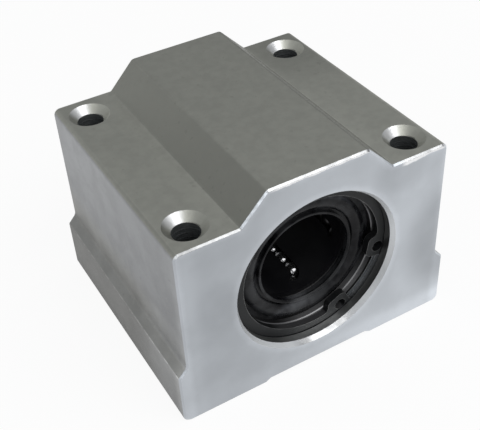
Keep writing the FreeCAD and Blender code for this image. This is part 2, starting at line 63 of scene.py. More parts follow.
def placeCamera(look):
    azimuth = math.radians(look["azimuth"])
    elevation = math.radians(look["elevation"])
    roll = math.radians(look["roll"])
    back = Vector((
        math.sin(azimuth) * math.cos(elevation),
        -math.cos(azimuth) * math.cos(elevation),
        math.sin(elevation),
    ))
    right = (-back).cross(Vector((0, 0, 1))).normalized()
    up = right.cross(-back)
    rolledRight = right * math.cos(roll) + up * math.sin(roll)
    rolledUp = up * math.cos(roll) - right * math.sin(roll)
    data = bpy.data.cameras.new("camera")
    data.lens = look["lens"]
    data.shift_x = look["shiftX"]
    data.shift_y = look["shiftY"]
    data.clip_start = 0.005
    data.clip_end = 20
    camera = bpy.data.objects.new("camera", data)
    bpy.context.scene.collection.objects.link(camera)
    turn = Matrix((rolledRight, rolledUp, back)).transposed().to_4x4()
    camera.matrix_world = Matrix.Translation(Vector(look["target"]) + back * look["distance"]) @ turn
    bpy.context.scene.camera = camera


placeCamera(cameraLook)
bpy.context.scene.view_settings.view_transform = "Standard"
print("camera placed")


# Short ways to write node materials
def newMaterial(name):
    material = bpy.data.materials.new(name)
    material.use_nodes = True
    tree = material.node_tree
    return material, tree, tree.nodes["Principled BSDF"]


def feed(tree, socket, value):
    if isinstance(value, bpy.types.NodeSocket):
        tree.links.new(value, socket)
    else:
        socket.default_value = value


def maths(tree, operation, first, second=0.0):
    node = tree.nodes.new("ShaderNodeMath")
    node.operation = operation
    feed(tree, node.inputs[0], first)
    feed(tree, node.inputs[1], second)
    return node.outputs[0]


def times(tree, first, *others):
    product = first
    for other in others:
        product = maths(tree, "MULTIPLY", product, other)
    return product


def invert(tree, value):
    return maths(tree, "SUBTRACT", 1, value)


def fade(tree, value, low, high):
    # 0 below low, 1 above high, smooth between
    node = tree.nodes.new("ShaderNodeMapRange")
    node.interpolation_type = "SMOOTHSTEP"
    feed(tree, node.inputs["Value"], value)
    node.inputs["From Min"].default_value = low
    node.inputs["From Max"].default_value = high
    return node.outputs["Result"]


def spread(tree, value, low, high):
    # turns 0 to 1 into low to high
    node = tree.nodes.new("ShaderNodeMapRange")
    feed(tree, node.inputs["Value"], value)
    feed(tree, node.inputs["To Min"], low)
    feed(tree, node.inputs["To Max"], high)
    return node.outputs["Result"]


def within(tree, mask, tone):
    # tone where the mask is 1, and 1 where it is 0
    return spread(tree, mask, 1, tone)


def wander(tree, value, amount):
    return spread(tree, value, -amount, amount)


def noise(tree, vector, size, detail=3.0, roughness=0.5):
    # size is the grain's width in metres
    node = tree.nodes.new("ShaderNodeTexNoise")
    feed(tree, node.inputs["Vector"], vector)
    node.inputs["Scale"].default_value = 1 / size
    node.inputs["Detail"].default_value = detail
    node.inputs["Roughness"].default_value = roughness
    return node.outputs["Fac"]


def blendColours(tree, factor, first, second):
    node = tree.nodes.new("ShaderNodeMix")
    node.data_type = "RGBA"
    feed(tree, node.inputs[0], factor)
    feed(tree, node.inputs[6], first)
    feed(tree, node.inputs[7], second)
    return node.outputs[2]


def blendValues(tree, factor, first, second):
    node = tree.nodes.new("ShaderNodeMix")
    feed(tree, node.inputs[0], factor)
    feed(tree, node.inputs[2], first)
    feed(tree, node.inputs[3], second)
    return node.outputs[0]


def shade(tree, colour, value, amount):
    # lightens and darkens a colour by a 0 to 1 value
    dark = tuple(c * (1 - amount) for c in colour) + (1,)
    light = tuple(min(1, c * (1 + amount)) for c in colour) + (1,)
    return blendColours(tree, value, dark, light)


def toned(tree, colour, factor):
    node = tree.nodes.new("ShaderNodeVectorMath")
    node.operation = "SCALE"
    feed(tree, node.inputs[0], colour)
    feed(tree, node.inputs["Scale"], factor)
    return node.outputs[0]


def place(tree):
    coordinates = tree.nodes.new("ShaderNodeTexCoord")
    parts = tree.nodes.new("ShaderNodeSeparateXYZ")
    tree.links.new(coordinates.outputs["Object"], parts.inputs[0])
    return coordinates.outputs["Object"], parts.outputs[0], parts.outputs[1], parts.outputs[2]


def facing(tree):
    geometry = tree.nodes.new("ShaderNodeNewGeometry")
    parts = tree.nodes.new("ShaderNodeSeparateXYZ")
    tree.links.new(geometry.outputs["Normal"], parts.inputs[0])
    return parts.outputs[0], parts.outputs[1], parts.outputs[2]


def reach(tree, first, second):
    # length of the two sides together
    squares = maths(tree, "ADD", times(tree, first, first), times(tree, second, second))
    return maths(tree, "SQRT", squares)


def fromShaft(tree, x, z):
    # distance from the shaft's axis
    return reach(tree, x, maths(tree, "SUBTRACT", z, boreHeight))


def joined(tree, first, second, third):
    node = tree.nodes.new("ShaderNodeCombineXYZ")
    feed(tree, node.inputs[0], first)
    feed(tree, node.inputs[1], second)
    feed(tree, node.inputs[2], third)
    return node.outputs[0]


def fromOutline(tree, across, up):
    # how far a point of an end face lies inside the stepped outline of the block
    slope = maths(
        tree, "SUBTRACT",
        times(tree, maths(tree, "SUBTRACT", outline["ridgeRoot"], across), outline["slopeAcross"]),
        times(tree, maths(tree, "SUBTRACT", up, outline["shoulderTop"]), outline["slopeUp"]),
    )
    ridge = maths(tree, "MINIMUM", maths(tree, "SUBTRACT", outline["ridgeTop"], up), slope)
    top = maths(tree, "MAXIMUM", ridge, maths(tree, "SUBTRACT", outline["shoulderTop"], up))
    return maths(tree, "MINIMUM", top, maths(tree, "SUBTRACT", outline["side"], across))


def bump(tree, height, depth):
    node = tree.nodes.new("ShaderNodeBump")
    node.inputs["Distance"].default_value = depth
    node.inputs["Strength"].default_value = 1
    feed(tree, node.inputs["Height"], height)
    return node.outputs["Normal"]


def softenedEdge(tree, width):
    node = tree.nodes.new("ShaderNodeBevel")
    node.samples = 6
    node.inputs["Radius"].default_value = width
    return node.outputs[0]


def edgeWearAndHighlight(tree, look, patches):
    # 1 on edges, found by how far a softened edge turns the surface away; there the coating is rubbed
    # off and a highlight is painted
    geometry = tree.nodes.new("ShaderNodeNewGeometry")
    match = tree.nodes.new("ShaderNodeVectorMath")
    match.operation = "DOT_PRODUCT"
    tree.links.new(softenedEdge(tree, look["edgeWidth"]), match.inputs[0])
    tree.links.new(geometry.outputs["Normal"], match.inputs[1])
    turned = fade(tree, match.outputs["Value"], *look["edgeTurn"])
    return times(tree, turned, fade(tree, patches, *look["edgePatches"]))


def patch(tree, first, second, middle, halfSize, tone):
    # tone inside an oval patch with a soft rim, 1 outside it
    away = reach(
        tree,
        maths(tree, "DIVIDE", maths(tree, "SUBTRACT", first, middle[0]), halfSize[0]),
        maths(tree, "DIVIDE", maths(tree, "SUBTRACT", second, middle[1]), halfSize[1]),
    )
    return spread(tree, fade(tree, away, 1, 0.45), 1, tone)


def dress(name, material):
    node = nodes[name]
    node.data.materials.clear()
    node.data.materials.append(material)


# The housing: a dull blasted skin along the bar, bright cut metal elsewhere
housingLook = {
    # colours
    "skin": (0.378, 0.38, 0.342),
    "sideSkin": (0.372, 0.38, 0.39),
    "footSkin": (0.372, 0.373, 0.36),
    "cut": (0.438, 0.462, 0.492),
    "edgeHighlight": (0.9, 0.905, 0.91),   # painted highlight: a ragged near-white band under the top front edges
    "mouth": (0.62, 0.635, 0.65),  # the bore's chamfered mouths, duller than polished
    "brightEdge": (0.42, 0.425, 0.43),
    # painted highlight on the countersinks' lit walls
    "countersinkHighlightColour": (0.62, 0.625, 0.63),
    "boreWall": (0.42, 0.425, 0.42),
    # painted shade: the circlip grooves in the bore are nearly black
    "grooveWall": (0.1, 0.1, 0.099),
    # painted shade: the walls of the mounting holes are darker than the cut metal
    "holeWall": (0.26, 0.275, 0.28),

    # tones of the sides: painted light and shade, and how brown the feet are
    "sideTone": (0.87, 1.0),       # at the front, at the back
    "lowTone": (0.73, 1.0),        # at the feet, under the shoulders
    "footTone": (1.12, 0.68),      # the feet at the front, further back
    "soleTone": 0.8,               # the feet just above the floor
    "sidePatch": ((-0.0165, 0.0132), (0.013, 0.0055), 1.22),
    "cornerTone": (1.08, 1.35),    # painted highlight where they meet the front, high and low
    "stepTone": (1.28, 1.25),      # painted light on the slopes of the steps, at the front and at the back
    "neckTone": (0.94, 0.9),       # painted shade above the steps, at the front and further back
    "footEdgeTone": (1.2, 1.75),   # painted highlight on the upper edge of the feet, uneven
    "brownAtFront": 0.45,          # how brown the feet are at the front

    # tones of the top: painted light and shade
    "topTone": (1.0, 0.92),        # at the front, at the back
    "shoulderTone": 1.07,
    "farShoulderTone": 0.82,       # the right shoulder towards the back
    "rootTone": 1.07,              # the shoulders beside the ridge
    "slopeTone": 0.95,
    "rightSlopeTone": (0.82, 0.68),  # at the front and at the back
    "ridgeEdgeTone": 0.75,
    "rootEdgeTone": 1.12,
    "shoulderEdgeTone": 1.14,
    "countersinkShadeAndLight": (0.72, 1.38),  # painted shade on the left sides of the countersinks, painted light on the right sides

    # tones of the end faces: painted light and shade
    "cutTone": (0.92, 1.2),        # left, right
    "cutFootTone": (1.02, 1.21),
    "leftBandTone": 1.1,           # beside the left edge
    "endPatches": (
        # middle, half size, tone
        ((0.0245, 0.015), (0.0098, 0.0135), 0.75),
        ((0.0155, 0.0325), (0.0075, 0.0055), 0.85),
        ((-0.0175, 0.021), (0.0045, 0.007), 0.92),
    ),
    "wornTone": 1.14,              # painted highlight close to the edges
    "wornWidth": 0.0013,
    "edgeTone": 1.15,              # painted highlight on broken edges beside a duller face
    "leftEdgeTone": 1.13,
    "rightEdgeTone": 1.5,
    "slopeEdgeTone": (1.15, 1.6),  # painted highlight on the left slope's front edge, unevenly bright
    # painted shade on the light-catching edges towards the left
    "brightLeftTone": 0.62,
    "mouthTone": (0.82, 1.25),     # painted shade low and painted light high, right of the shaft
    # painted light low on the bore's wall
    "boreFootTone": 2.0,

    # shine
    "skinRoughness": (0.47, 0.57),
    "cutRoughness": (0.32, 0.4),
    "brightRoughness": 0.3,
    "countersinkRoughness": 0.38,
    "mouthPolish": 0.3,

    # grain and marks
    "skinMottle": 0.055,
    "cutMottle": 0.05,
    "mottleSize": 0.0016,
    "patchSize": 0.0045,
    "cloudSize": 0.008,
    "widePatches": 0.35,           # their part in the mottle of the top
    "speckSize": 0.0012,
    "speckTone": 0.9,
    "raggedness": 0.0004,          # how far the painted highlight's rim wanders
    "rimWander": 0.0005,
    "patchWander": 0.002,
    "grain": 0.00012,
    "grainDepth": 0.00002,
    "sawPitch": 0.00022,
    "sawStretch": 0.04,            # the saw lines are long across the ends
    "turnPitch": 0.00018,
    "lineDepth": 0.25,             # against the grain of the skin
    "edgeSoftness": 0.00012,

    # measures
    "boreReach": 0.01475,          # everything nearer to the shaft's axis is the bore
    "boreRim": 0.0145,
    "holeReach": 0.00341,
    "slantedBelow": 0.95,
    "edgeHighlightNarrowing": 0.0003,           # the painted highlight is that much narrower further right
}

# Where these looks change. Each pair is a fade, from where it starts to where it is
# full: in metres, or for a facing as a part of the surface's normal
housingZones = {
    # heights
    "sole": (0.0005, 0.006),
    "cutFoot": (0.0048, 0.002),
    "boreFoot": (0.0075, 0.0052),
    "sideHeight": (0.006, 0.034),
    "foot": (0.0108, 0.0102),
    "footEdge": (0.0112, 0.0105),
    "neckFoot": (0.0108, 0.0113),
    "neckTop": (0.0175, 0.0165),
    "step": (0.0135, 0.011),
    "stepTop": (0.0138, 0.0125),
    "brownFoot": (0.02, 0.0125),
    "mouthHeight": (0.012, 0.023),
    "lowCorner": (0.031, 0.02),
    "shoulderHighlight": (0.03275, 0.0331),
    "shoulderCorner": (0.0331, 0.0334),
    "shoulderEdge": (0.0332, 0.0334),
    "slope": (0.0338, 0.0342),
    "ridge": (0.0342, 0.0345),
    "root": (0.0345, 0.0342),
    "rootEdge": (0.0346, 0.0342),
    "ridgeEdge": (0.0375, 0.0379),
    "ridgeHighlight": (0.0379, 0.0381),

    # places across, from the left to the right
    "width": (-0.025, 0.025),
    "leftEnd": (-0.0232, -0.0229),
    "brightLeft": (-0.0225, -0.013),
    "leftBand": (-0.0195, -0.0222),
    "ridgeHighlightStart": (-0.009, -0.006),
    "rightOfShaft": (0.003, 0.007),
    "farShoulderStart": (0.012, 0.0145),
    "dimEdgeStart": (0.0125, 0.0128),
    "dimEdgeEnd": (0.0153, 0.0141),
    "shoulderHighlightStart": (0.0145, 0.0156),
    "edgeHighlightNarrowingStart": (0.0165, 0.0205),

    # distances from the middle
    "besideRidge": (0.0175, 0.0135),
    "cornerStart": (0.0225, 0.0228),
    "outerEdge": (0.0225, 0.023),
    "shoulderHighlightEnd": (0.0233, 0.0225),

    # places along, from the front to the back
    "length": (-0.022, 0.022),
    "frontCorner": (-0.0195, -0.0218),
    "behindFront": (-0.018, -0.003),
    "frontHalf": (0, -0.001),
    "farShoulderDepth": (0.002, 0.013),
    "beforeGroove": (0.0197, 0.0199),

    # facings endways
    "end": (0.3, 0.5),
    "wallOfBore": (0.4, 0.2),
    "frontwards": (-0.5, -0.9),
    "sunkFront": (0.1, -0.2),

    # facings across
    "upright": (0.8, 0.95),
    "mouthFootRight": (0.32, 0.12),
    "mouthFootLeft": (-0.44, -0.3),
    "sunkLeft": (-0.4, 0.0),
    "sunkRight": (0.66, 0.4),
    "countersinkLeft": (0.2, 0.5),
    "countersinkRight": (0.05, -0.4),
    "rightSlope": (0.3, 0.5),
    "ridgeEdgeAcross": (0.08, 0.2),
    "rootEdgeAcross": (0.05, 0.15),
    "shoulderEdgeAcross": (-0.1, -0.4),
    "leftEdge": (-0.3, -0.5),
    "rightEdge": (0.25, 0.4),
    "slopeEdge": (-0.2, -0.35),

    # facings upwards
    "wallOfHole": (0.4, 0.2),
    "plumb": (0.3, 0.15),
    "pastPlumb": (0.05, 0.2),
    "slopeEdgeUp": (0.2, 0.3),
    "stepUp": (0.3, 0.6),
    "lit": (0.5, 0.66),
    "footEdgeUp": (0.62, 0.5),
    "neckUp": (0.7, 0.5),
    "ridgeEdgeUp": (0.71, 0.74),
    "rootEdgeUp": (0.7, 0.76),
    "slopeUp": (0.85, 0.75),
    "level": (0.85, 0.95),
    "notLevel": (0.95, 0.85),

    # steps in the noises
    "speckle": (0.38, 0.62),
    "dapple": (0.36, 0.64),
    "speck": (0.63, 0.7),
    "speckPatch": (0.4, 0.6),
    "unevenFootEdge": (0.42, 0.58),
    "unevenSlopeEdge": (0.42, 0.6),
    "cutCloud": (0.35, 0.65),
}


def zone(tree, value, name):
    return fade(tree, value, *housingZones[name])


def readHousing(tree, look):
    # the measures, noises and masks that the housing's looks share
    at = types.SimpleNamespace()
    at.point, at.x, at.y, at.z = place(tree)
    at.nx, at.ny, at.nz = facing(tree)
    at.endways = maths(tree, "ABSOLUTE", at.ny)
    at.fromMiddle = maths(tree, "ABSOLUTE", at.x)
    at.fromBore = fromShaft(tree, at.x, at.z)
    at.fromHole = reach(
        tree,
        maths(tree, "SUBTRACT", at.fromMiddle, holeAcross),
        maths(tree, "SUBTRACT", maths(tree, "ABSOLUTE", at.y), holeAlong),
    )
    at.backward = zone(tree, at.y, "length")
    at.behindFront = zone(tree, at.y, "behindFront")
    at.rightward = zone(tree, at.x, "width")

    at.mottle = noise(tree, at.point, look["mottleSize"], detail=5, roughness=0.6)
    at.cloud = noise(tree, at.point, look["cloudSize"], detail=3)
    at.patches = noise(tree, at.point, look["patchSize"], detail=3, roughness=0.6)
    at.grain = noise(tree, at.point, look["grain"], detail=2, roughness=0.7)

    at.inBore = maths(tree, "LESS_THAN", at.fromBore, look["boreReach"])
    at.inHole = maths(tree, "LESS_THAN", at.fromHole, look["holeReach"])
    at.cutEnd = times(tree, zone(tree, at.endways, "end"), invert(tree, at.inHole))
    at.cut = maths(tree, "MAXIMUM", at.cutEnd, at.inBore)
    at.slantedEnd = times(tree, at.cutEnd, maths(tree, "LESS_THAN", at.endways, look["slantedBelow"]))
    at.mouth = times(tree, at.inBore, at.slantedEnd)
    at.slope = times(tree, zone(tree, at.z, "slope"), zone(tree, at.nz, "slopeUp"))
    at.upright = zone(tree, maths(tree, "ABSOLUTE", at.nx), "upright")
    at.stepped = times(tree, zone(tree, at.z, "stepTop"), zone(tree, at.nz, "notLevel"))

    # broken edges and the mouth of the bore catch the light from above
    mouthFoot = times(tree, zone(tree, at.nx, "mouthFootRight"), zone(tree, at.nx, "mouthFootLeft"))
    # the right shoulder's front edge is left out of the light-catching edges
    dimEdge = times(
        tree,
        zone(tree, at.x, "dimEdgeStart"),
        zone(tree, at.x, "dimEdgeEnd"),
        zone(tree, at.y, "frontHalf"),
    )
    edges = times(tree, invert(tree, dimEdge), zone(tree, at.x, "leftEnd"))
    at.bright = times(
        tree,
        at.slantedEnd,
        zone(tree, at.nz, "lit"),
        blendValues(tree, at.inBore, edges, mouthFoot),
    )
    # painted highlight: the countersinks' walls that face forward and up are painted bright, and they
    # are a little smoother
    at.sunk = times(
        tree,
        at.inHole,
        zone(tree, at.ny, "sunkFront"),
        zone(tree, at.nx, "sunkLeft"),
        zone(tree, at.nx, "sunkRight"),
        zone(tree, at.nz, "lit"),
    )
    # painted light on the top outer corners of the end faces, in the mouths' pale colour
    at.rubbedCorner = times(
        tree,
        zone(tree, at.fromMiddle, "cornerStart"),
        zone(tree, at.z, "shoulderCorner"),
        at.slantedEnd,
    )
    return at


def skinBeforeTones(tree, at, look):
    speckle = maths(tree, "ADD", times(tree, at.mottle, 0.8), times(tree, at.grain, 0.2))
    dapple = zone(tree, at.patches, "dapple")
    # the top has wider patches too, and the slopes of the ridge are more even
    speckle = blendValues(tree, look["widePatches"], zone(tree, speckle, "speckle"), dapple)
    speckle = blendValues(tree, at.slope, speckle, spread(tree, speckle, 0.3, 0.7))
    # the sides are browner towards the feet
    slanted = times(tree, at.stepped, invert(tree, at.upright))
    brown = times(
        tree,
        zone(tree, at.z, "brownFoot"),
        spread(tree, at.behindFront, look["brownAtFront"], 1),
    )
    sideSkin = blendColours(
        tree, maths(tree, "MAXIMUM", brown, slanted),
        shade(tree, look["sideSkin"], dapple, look["skinMottle"]),
        shade(tree, look["footSkin"], dapple, look["skinMottle"]),
    )
    flat = invert(tree, maths(tree, "MAXIMUM", at.upright, at.stepped))
    return blendColours(tree, flat, sideSkin, shade(tree, look["skin"], speckle, look["skinMottle"]))


def sideTones(tree, at, look, cornerTone):
    # painted light and shade: the sides darken towards the feet and the front, the feet darken
    # further back and just above the floor, and a patch low at the front is painted lighter
    foot = times(tree, at.upright, zone(tree, at.z, "foot"))
    footTone = times(
        tree,
        spread(tree, at.behindFront, *look["footTone"]),
        spread(tree, zone(tree, at.z, "sole"), look["soleTone"], 1),
    )
    return times(
        tree,
        spread(tree, at.backward, *look["sideTone"]),
        spread(tree, zone(tree, at.z, "sideHeight"), *look["lowTone"]),
        within(tree, foot, footTone),
        patch(tree, at.y, at.z, *look["sidePatch"]),
        cornerTone,
    )


def topTones(tree, at, look):
    # painted light and shade: the top darkens a little towards the back; the shoulders are painted
    # lighter, more so beside the ridge, and darker on the right towards the back
    besideRidge = times(tree, zone(tree, at.fromMiddle, "besideRidge"), zone(tree, at.z, "root"))
    farShoulder = times(
        tree,
        zone(tree, at.x, "farShoulderStart"),
        zone(tree, at.y, "farShoulderDepth"),
    )
    shoulderTone = times(
        tree,
        spread(tree, besideRidge, look["shoulderTone"], look["shoulderTone"] * look["rootTone"]),
        within(tree, farShoulder, look["farShoulderTone"]),
    )
    return times(
        tree,
        spread(tree, at.backward, *look["topTone"]),
        blendValues(tree, zone(tree, at.z, "ridge"), shoulderTone, 1),
    )


def skinColour(tree, at, look):
    # painted highlight along the front corners of the sides
    cornerTone = within(
        tree, zone(tree, at.y, "frontCorner"),
        spread(tree, zone(tree, at.z, "lowCorner"), *look["cornerTone"]),
    )
    # painted shade on the ridge's right slope and right edge, painted light at the ridge's root and
    # on the shoulders' outer edges
    rightSlope = times(tree, at.slope, zone(tree, at.nx, "rightSlope"))
    ridgeEdge = times(
        tree,
        zone(tree, at.nx, "ridgeEdgeAcross"),
        zone(tree, at.nz, "ridgeEdgeUp"),
        zone(tree, at.z, "ridgeEdge"),
    )
    rootEdge = times(
        tree,
        zone(tree, at.nx, "rootEdgeAcross"),
        zone(tree, at.nz, "rootEdgeUp"),
        zone(tree, at.z, "rootEdge"),
    )
    neck = times(
        tree,
        zone(tree, at.nz, "pastPlumb"),
        zone(tree, at.nz, "neckUp"),
        zone(tree, at.z, "neckFoot"),
        zone(tree, at.z, "neckTop"),
    )
    # painted highlight on the upper edge of the feet
    footEdge = times(
        tree,
        zone(tree, at.nz, "pastPlumb"),
        zone(tree, at.nz, "footEdgeUp"),
        zone(tree, at.z, "footEdge"),
    )
    shoulderEdge = times(
        tree,
        zone(tree, at.nx, "shoulderEdgeAcross"),
        zone(tree, at.z, "shoulderEdge"),
        zone(tree, at.fromMiddle, "outerEdge"),
    )
    step = times(tree, zone(tree, at.z, "step"), zone(tree, at.nz, "stepUp"))
    speckNoise = noise(tree, at.point, look["speckSize"], detail=2, roughness=0.6)
    specks = times(tree, zone(tree, speckNoise, "speck"), zone(tree, at.patches, "speckPatch"))
    # painted shade and light on the countersinks' sides
    countersinkLeft = times(tree, at.inHole, zone(tree, at.nx, "countersinkLeft"))
    countersinkRight = times(tree, at.inHole, zone(tree, at.nx, "countersinkRight"))
    level = zone(tree, at.nz, "level")
    footEdgeTone = spread(tree, zone(tree, at.mottle, "unevenFootEdge"), *look["footEdgeTone"])
    # painted light and shade across the skin: the sides and top, the slopes, the edges of the ridge
    # and shoulders, the neck above the steps, the feet's upper edge, the steps and the countersinks'
    # sides; the specks are the skin's own
    tone = times(
        tree,
        blendValues(tree, level, sideTones(tree, at, look, cornerTone), topTones(tree, at, look)),
        within(tree, at.slope, maths(tree, "DIVIDE", look["slopeTone"], cornerTone)),
        within(tree, rightSlope, spread(tree, at.backward, *look["rightSlopeTone"])),
        within(tree, ridgeEdge, look["ridgeEdgeTone"]),
        within(tree, rootEdge, look["rootEdgeTone"]),
        within(tree, neck, spread(tree, at.behindFront, *look["neckTone"])),
        within(tree, footEdge, footEdgeTone),
        within(tree, shoulderEdge, look["shoulderEdgeTone"]),
        within(tree, step, spread(tree, at.backward, *look["stepTone"])),
        within(tree, specks, look["speckTone"]),
        within(tree, countersinkLeft, look["countersinkShadeAndLight"][0]),
        within(tree, countersinkRight, look["countersinkShadeAndLight"][1]),
    )
    return toned(tree, skinBeforeTones(tree, at, look), tone)


def brokenEdgeTone(tree, at, look):
    # painted highlights on the broken edges of the ends, uneven on the left slope's edge
    leftEdge = times(tree, zone(tree, at.nx, "leftEdge"), zone(tree, at.nz, "plumb"))
    slopeEdge = times(tree, zone(tree, at.nx, "slopeEdge"), zone(tree, at.nz, "slopeEdgeUp"))
    slopeEdgeTone = spread(tree, zone(tree, at.mottle, "unevenSlopeEdge"), *look["slopeEdgeTone"])
    edgeTone = spread(tree, leftEdge, look["edgeTone"], look["leftEdgeTone"])
    edgeTone = blendValues(tree, zone(tree, at.nx, "rightEdge"), edgeTone, look["rightEdgeTone"])
    return blendValues(tree, slopeEdge, edgeTone, slopeEdgeTone)


def cutColour(tree, at, look):
    # painted highlight: the end faces are a little brighter near their edges
    fromRim = maths(
        tree, "MINIMUM",
        fromOutline(tree, at.fromMiddle, at.z),
        maths(tree, "SUBTRACT", at.fromBore, look["boreRim"]),
    )
    fromRim = maths(tree, "ADD", fromRim, wander(tree, at.mottle, look["rimWander"]))
    wornTone = within(tree, fade(tree, fromRim, look["wornWidth"], 0), look["wornTone"])
    # painted light and shade: darker on the left and lighter on the right, lighter along the left
    # edge and the feet, darker in patches
    leftBand = times(tree, zone(tree, at.x, "leftBand"), invert(tree, at.slantedEnd))
    across = maths(tree, "ADD", at.x, wander(tree, at.cloud, look["patchWander"]))
    tone = times(
        tree,
        spread(tree, at.rightward, *look["cutTone"]),
        blendValues(tree, at.slantedEnd, wornTone, brokenEdgeTone(tree, at, look)),
        within(tree, leftBand, look["leftBandTone"]),
        within(tree, zone(tree, at.z, "cutFoot"), spread(tree, at.rightward, *look["cutFootTone"])),
        *[patch(tree, across, at.z, *endPatch) for endPatch in look["endPatches"]],
    )
    clouded = shade(tree, look["cut"], zone(tree, at.cloud, "cutCloud"), look["cutMottle"])
    # painted highlight: a ragged near-white band under the top edges of the front
    ragged = maths(tree, "ADD", at.z, wander(tree, at.mottle, look["raggedness"]))
    underRidge = times(tree, zone(tree, ragged, "ridgeHighlight"), zone(tree, at.x, "ridgeHighlightStart"))
    narrower = spread(tree, zone(tree, at.x, "edgeHighlightNarrowingStart"), 0, look["edgeHighlightNarrowing"])
    underShoulder = times(
        tree,
        zone(tree, maths(tree, "SUBTRACT", ragged, narrower), "shoulderHighlight"),
        zone(tree, at.x, "shoulderHighlightStart"),
        zone(tree, at.fromMiddle, "shoulderHighlightEnd"),
    )
    edgeHighlighted = times(
        tree,
        maths(tree, "MAXIMUM", underRidge, underShoulder),
        zone(tree, at.ny, "frontwards"),
    )
    return blendColours(tree, edgeHighlighted, toned(tree, clouded, tone), look["edgeHighlight"] + (1,))


def boreWallColour(tree, at, look):
    # painted shade in the circlip grooves, painted light low on the bore's wall
    boreFoot = within(tree, zone(tree, at.z, "boreFoot"), look["boreFootTone"])
    return blendColours(
        tree, zone(tree, maths(tree, "ABSOLUTE", at.y), "beforeGroove"),
        shade(tree, look["grooveWall"], at.cloud, 0.2),
        toned(tree, shade(tree, look["boreWall"], at.cloud, 0.2), boreFoot),
    )


def housingColour(tree, at, look):
    # painted shade low and painted light high on the mouth right of the shaft
    mouthTone = spread(tree, zone(tree, at.z, "mouthHeight"), *look["mouthTone"])
    mouthTone = within(tree, zone(tree, at.x, "rightOfShaft"), mouthTone)
    mouthColour = toned(tree, shade(tree, look["mouth"], at.mottle, 0.05), mouthTone)
    # painted shade on the light-catching edges towards the left
    brightTone = spread(tree, zone(tree, at.x, "brightLeft"), look["brightLeftTone"], 1)
    brightColour = shade(tree, look["brightEdge"], zone(tree, at.mottle, "cutCloud"), 0.2)
    boreWall = times(tree, at.inBore, zone(tree, at.endways, "wallOfBore"))
    holeWall = times(tree, at.inHole, zone(tree, at.nz, "wallOfHole"))
    layers = (
        # where it lies, colour
        (at.cut, cutColour(tree, at, look)),
        (at.mouth, mouthColour),
        (boreWall, boreWallColour(tree, at, look)),
        # painted shade on the walls of the mounting holes
        (holeWall, shade(tree, look["holeWall"], at.mottle, 0.2)),
        (at.bright, toned(tree, brightColour, brightTone)),
        # painted light on the top outer corners of the ends
        (at.rubbedCorner, look["mouth"] + (1,)),
        # painted highlight on the countersinks
        (at.sunk, shade(tree, look["countersinkHighlightColour"], at.mottle, 0.1)),
    )
    colour = skinColour(tree, at, look)
    for mask, layer in layers:
        colour = blendColours(tree, mask, colour, layer)
    return colour


def housingRelief(tree, at, look):
    # saw lines across the ends, turning lines round the bore and the holes
    stretched = joined(tree, times(tree, at.x, look["sawStretch"]), 0, at.z)
    sawn = noise(tree, stretched, look["sawPitch"], detail=1)
    around = joined(tree, 0, maths(tree, "MINIMUM", at.fromBore, 0.02), at.y)
    rings = noise(tree, around, look["turnPitch"], detail=1)
    turned = maths(tree, "MAXIMUM", at.inBore, at.inHole)
    lines = blendValues(tree, turned, sawn, rings)
    height = blendValues(tree, at.cut, at.grain, times(tree, lines, look["lineDepth"]))
    relief = bump(tree, height, look["grainDepth"])
    tree.links.new(softenedEdge(tree, look["edgeSoftness"]), relief.node.inputs["Normal"])
    return relief


def blastedAluminium(look):
    material, tree, shader = newMaterial("blastedAluminium")
    at = readHousing(tree, look)
    feed(tree, shader.inputs["Base Color"], housingColour(tree, at, look))
    dullMouth = times(tree, at.mouth, invert(tree, at.bright))
    dulled = maths(tree, "MAXIMUM", dullMouth, at.rubbedCorner)
    feed(tree, shader.inputs["Metallic"], spread(tree, dulled, 1, look["mouthPolish"]))
    skinRough = spread(tree, at.mottle, *look["skinRoughness"])
    cutRough = spread(tree, at.cloud, *look["cutRoughness"])
    rough = blendValues(tree, at.cut, skinRough, cutRough)
    rough = blendValues(tree, at.bright, rough, look["brightRoughness"])
    rough = blendValues(tree, at.sunk, rough, look["countersinkRoughness"])
    feed(tree, shader.inputs["Roughness"], rough)
    feed(tree, shader.inputs["Normal"], housingRelief(tree, at, look))
    return material


dress("housing", blastedAluminium(housingLook))
print("housing dressed")


# The bearing's own metals
sleeveLook = {
    "colour": (0.12, 0.12, 0.124),
    "low": (0.2, 0.2, 0.204),    # the low right side, which faces the light
    "lowHeight": (0.0165, 0.0085),
    "lowAcross": (-0.007, 0),
    "lowPolish": 0.6,
    "roughness": (0.27, 0.4),
    "linePitch": 0.0001,
    "lineDepth": 0.000004,
    "cloudSize": 0.003,
}
circlipLook = {
    "colour": (0.014, 0.015, 0.016),
    "bareAndLitEdge": (0.2, 0.2, 0.2),     # where the coating is rubbed off the edges, with a painted highlight along them
    "low": (0.07, 0.07, 0.073),  # painted highlight on the inner edge at the bottom
    "lowHeight": (0.009, 0.0075),
    "lowFacing": (0.7, 0.85),
    "roughness": (0.32, 0.52),
    "polish": 0.6,
    "grain": 0.00015,
    "grainDepth": 0.000008,
    "cloudSize": 0.002,
    "edgeWidth": 0.00016,
    "edgeTurn": (0.995, 0.9),
    "edgePatches": (0.25, 0.55),
}
ballLook = {
    "colour": (0.28, 0.28, 0.285),
    "roughness": (0.02, 0.09),
    "polish": 0.96,
    "hazeSize": 0.0008,
    "paintedShading": (0.06, 0.06, 0.062),  # painted shade: the balls on the right are darker, and rougher
    "paintedShadingFrom": (0.004, 0.0055),
    "paintedShadingWander": 0.0006,
    "paintedShadingRoughness": 0.25,
}


